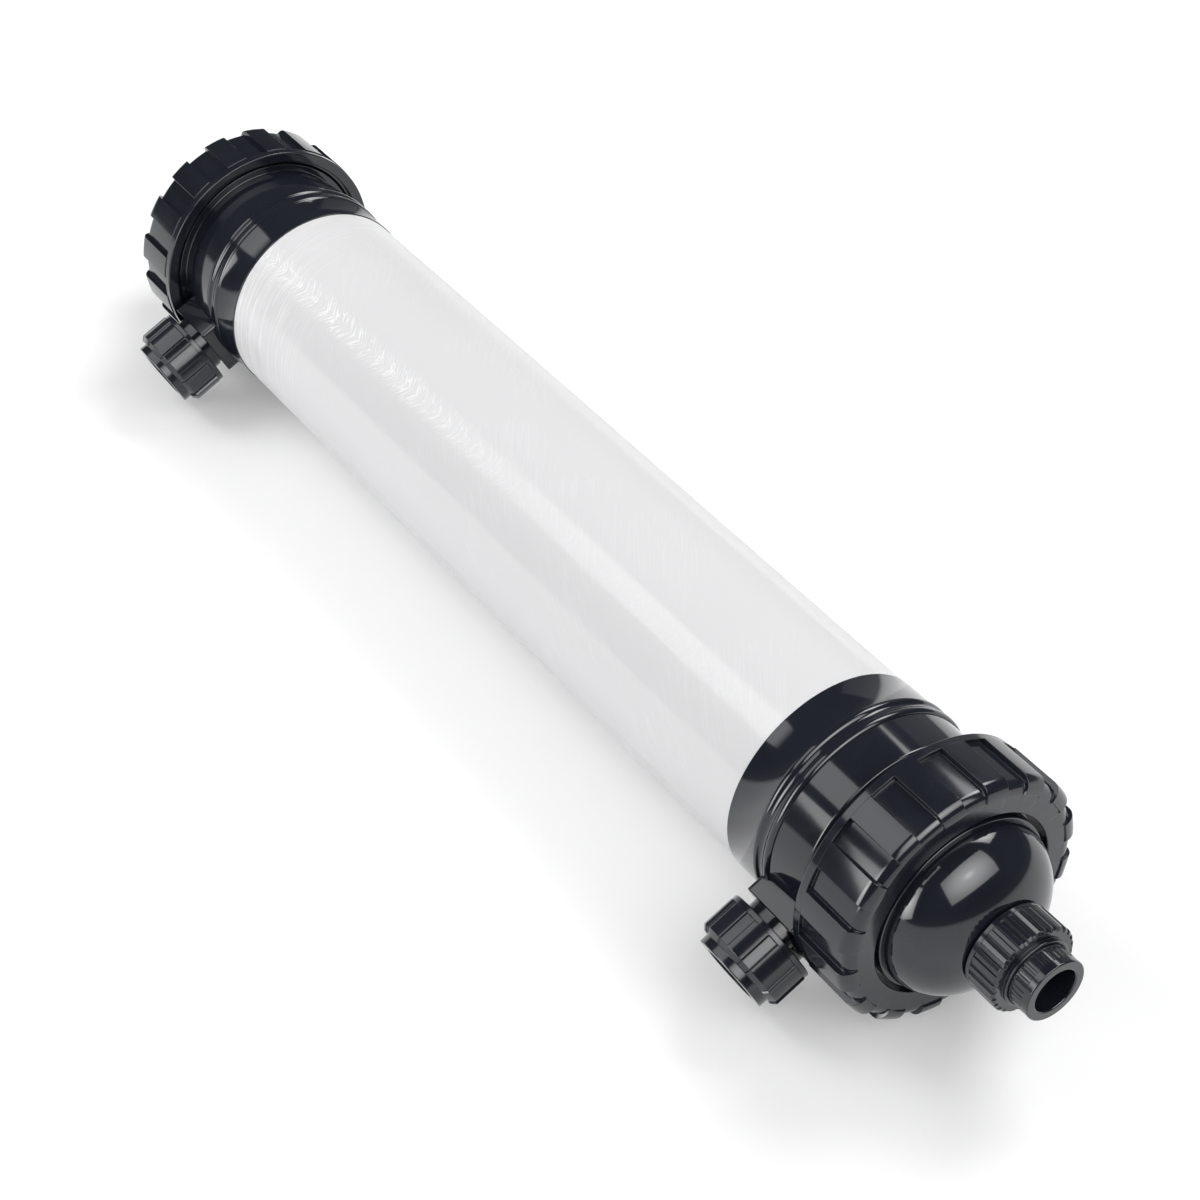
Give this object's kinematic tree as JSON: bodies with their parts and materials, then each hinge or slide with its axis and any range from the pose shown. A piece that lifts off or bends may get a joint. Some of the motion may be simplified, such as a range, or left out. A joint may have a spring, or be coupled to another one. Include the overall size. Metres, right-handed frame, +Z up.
{
  "type": "ultrafiltration membrane module",
  "caption": "Long white tubular water filter module with dark screwed end caps, axial pipe unions and side port unions, lying on its lock rings.",
  "frame": {"origin": "middle of the footprint, on the floor that the module lies on", "axes": "+X along the tube to the feed end, +Z up, side ports towards -Y and a little down"},
  "size_m": [1.3974, 0.2851, 0.2365],
  "materials": {
    "white_tube": "smooth extruded PVC",
    "clear_film": "clear stretch film with fine creases",
    "grey_pvc": "satin moulded PVC",
    "glossy_grey": "glossy moulded PVC",
    "seal_rubber": "matt rubber",
    "potting_resin": "cast resin",
    "fibre": "bundle of fine hollow fibres"
  },
  "bodies": {
    "housing": {"membrane_tube": "white_tube", "film_wrap": "clear_film", "fibre_bundle": "fibre", "feed_head": "grey_pvc", "feed_side_port": "grey_pvc", "feed_potting": "potting_resin", "feed_dome_seal": "seal_rubber", "feed_side_seal": "seal_rubber", "outlet_head": "grey_pvc", "outlet_side_port": "grey_pvc", "outlet_potting": "potting_resin", "outlet_dome_seal": "seal_rubber", "outlet_side_seal": "seal_rubber"},
    "feed_cap": {"feed_dome_cap": "glossy_grey", "feed_axial_seal": "seal_rubber"},
    "feed_ring": {"feed_lock_ring": "grey_pvc"},
    "feed_axial_tail_body": {"feed_axial_tail": "grey_pvc"},
    "feed_axial_nut_body": {"feed_axial_nut": "grey_pvc"},
    "feed_side_tail_body": {"feed_side_tail": "grey_pvc"},
    "feed_side_nut_body": {"feed_side_nut": "grey_pvc"},
    "outlet_cap": {"outlet_dome_cap": "glossy_grey", "outlet_axial_seal": "seal_rubber"},
    "outlet_ring": {"outlet_lock_ring": "grey_pvc"},
    "outlet_axial_tail_body": {"outlet_axial_tail": "grey_pvc"},
    "outlet_axial_nut_body": {"outlet_axial_nut": "grey_pvc"},
    "outlet_side_tail_body": {"outlet_side_tail": "grey_pvc"},
    "outlet_side_nut_body": {"outlet_side_nut": "grey_pvc"}
  },
  "joints": [
    {"name": "feed_cap_slide", "type": "slide", "parent": "housing", "child": "feed_cap", "axis": [1, 0, 0], "range_m": [0, 0.024]},
    {"name": "feed_ring_spin", "type": "hinge", "parent": "feed_cap", "child": "feed_ring", "pos_m": [0.5928, 0.02455, 0.11823], "axis": [1, 0, 0], "range_deg": [0, 1440]},
    {"name": "feed_axial_tail_slide", "type": "slide", "parent": "feed_cap", "child": "feed_axial_tail_body", "axis": [1, 0, 0], "range_m": [0, 0.01154]},
    {"name": "feed_axial_nut_spin", "type": "hinge", "parent": "feed_axial_tail_body", "child": "feed_axial_nut_body", "pos_m": [0.67408, 0.02455, 0.11823], "axis": [1, 0, 0], "range_deg": [0, 1800]},
    {"name": "feed_side_tail_slide", "type": "slide", "parent": "housing", "child": "feed_side_tail_body", "axis": [0, -0.8988, -0.4384], "range_m": [0, 0.01154]},
    {"name": "feed_side_nut_spin", "type": "hinge", "parent": "feed_side_tail_body", "child": "feed_side_nut_body", "pos_m": [0.4954, -0.12016, 0.04765], "axis": [0, -0.8988, -0.4384], "range_deg": [0, 1800]},
    {"name": "outlet_cap_slide", "type": "slide", "parent": "housing", "child": "outlet_cap", "axis": [-1, 0, 0], "range_m": [0, 0.024]},
    {"name": "outlet_ring_spin", "type": "hinge", "parent": "outlet_cap", "child": "outlet_ring", "pos_m": [-0.5928, 0.02455, 0.11823], "axis": [-1, 0, 0], "range_deg": [0, 1440]},
    {"name": "outlet_axial_tail_slide", "type": "slide", "parent": "outlet_cap", "child": "outlet_axial_tail_body", "axis": [-1, 0, 0], "range_m": [0, 0.01154]},
    {"name": "outlet_axial_nut_spin", "type": "hinge", "parent": "outlet_axial_tail_body", "child": "outlet_axial_nut_body", "pos_m": [-0.67408, 0.02455, 0.11823], "axis": [-1, 0, 0], "range_deg": [0, 1800]},
    {"name": "outlet_side_tail_slide", "type": "slide", "parent": "housing", "child": "outlet_side_tail_body", "axis": [0, -0.8988, -0.4384], "range_m": [0, 0.01154]},
    {"name": "outlet_side_nut_spin", "type": "hinge", "parent": "outlet_side_tail_body", "child": "outlet_side_nut_body", "pos_m": [-0.4954, -0.12016, 0.04765], "axis": [0, -0.8988, -0.4384], "range_deg": [0, 1800]}
  ],
  "couplings": [
    {"joint": "feed_cap_slide", "follows": "feed_ring_spin", "m_per_rad": 0.00095493},
    {"joint": "feed_axial_tail_slide", "follows": "feed_axial_nut_spin", "m_per_rad": 0.00036749},
    {"joint": "feed_side_tail_slide", "follows": "feed_side_nut_spin", "m_per_rad": 0.00036749},
    {"joint": "outlet_cap_slide", "follows": "outlet_ring_spin", "m_per_rad": 0.00095493},
    {"joint": "outlet_axial_tail_slide", "follows": "outlet_axial_nut_spin", "m_per_rad": 0.00036749},
    {"joint": "outlet_side_tail_slide", "follows": "outlet_side_nut_spin", "m_per_rad": 0.00036749}
  ]
}
